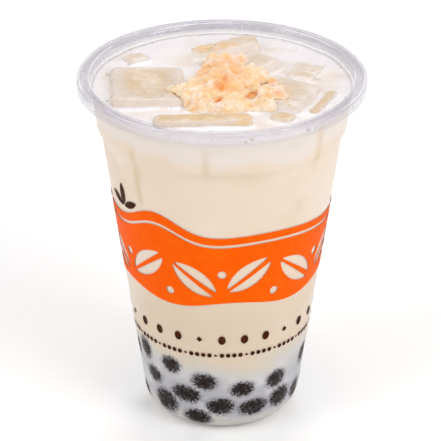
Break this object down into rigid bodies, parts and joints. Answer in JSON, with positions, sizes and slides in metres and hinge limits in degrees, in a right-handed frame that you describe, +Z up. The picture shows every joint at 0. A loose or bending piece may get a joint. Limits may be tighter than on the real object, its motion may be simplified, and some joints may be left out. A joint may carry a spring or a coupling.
{
  "type": "iced milk tea with tapioca pearls",
  "caption": "Tapered clear plastic cup of iced milk tea, with dark tapioca pearls at the bottom, ice at the top and a crumbled biscuit topping.",
  "frame": {"origin": "centre of the foot ring, on the surface the cup stands on", "axes": "+Z up along the cup's axis; the side with the pictured view faces -Y"},
  "size_m": [0.095, 0.095, 0.1263],
  "materials": {
    "cup_plastic": "thin clear polypropylene, slightly milky, with a print of orange and brown shapes",
    "milk_tea": "opaque creamy liquid with a pale froth at the top",
    "tapioca": "glossy near-black cooked tapioca in milk",
    "crumble": "dry pale golden crumbs",
    "ice": "wet melting ice, clouded and tinted by the milk"
  },
  "bodies": {
    "root": {"cup": "cup_plastic", "milk_tea": "milk_tea", "tapioca_pearls": "tapioca", "crumble": "crumble", "ice_left": "ice", "ice_back": "ice", "ice_middle": "ice", "ice_right": "ice", "ice_front": "ice", "ice_far_right": "ice", "ice_chip_left": "ice", "ice_chip_right": "ice", "ice_chip_front": "ice"}
  },
  "joints": []
}
